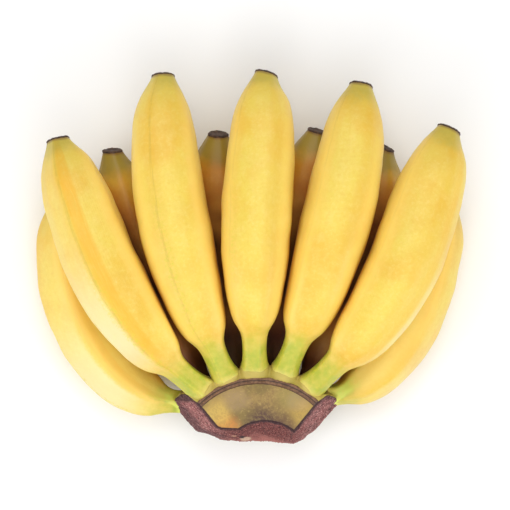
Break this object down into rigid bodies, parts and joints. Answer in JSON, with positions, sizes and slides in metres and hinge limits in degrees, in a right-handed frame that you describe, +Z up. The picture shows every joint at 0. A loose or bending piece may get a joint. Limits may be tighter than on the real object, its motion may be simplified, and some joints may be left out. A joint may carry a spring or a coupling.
{
  "type": "hand of lady finger bananas",
  "caption": "Hand of short, plump, ripe yellow bananas in two rows, joined at one cut crown, lying on its back row.",
  "frame": {"origin": "middle of the hand's footprint, on the table that it lies on", "axes": "+X across the hand from left to right, +Y from the crown towards the fruits' tips, +Z up"},
  "size_m": [0.197, 0.1704, 0.0682],
  "materials": {
    "peel": "ripe yellow peel, greener at the handles and tips, softly waxy",
    "crown": "olive skin with a corky scar, and a dried purple-brown knife cut, matt",
    "blossom_end": "dried dark brown blossom remains at each tip, matt"
  },
  "bodies": {
    "root": {"crown": "crown", "front_finger_1": "peel", "front_finger_2": "peel", "front_finger_3": "peel", "front_finger_4": "peel", "front_finger_5": "peel", "back_finger_1": "peel", "back_finger_2": "peel", "back_finger_3": "peel", "back_finger_4": "peel", "back_finger_5": "peel", "back_finger_6": "peel"}
  },
  "joints": []
}
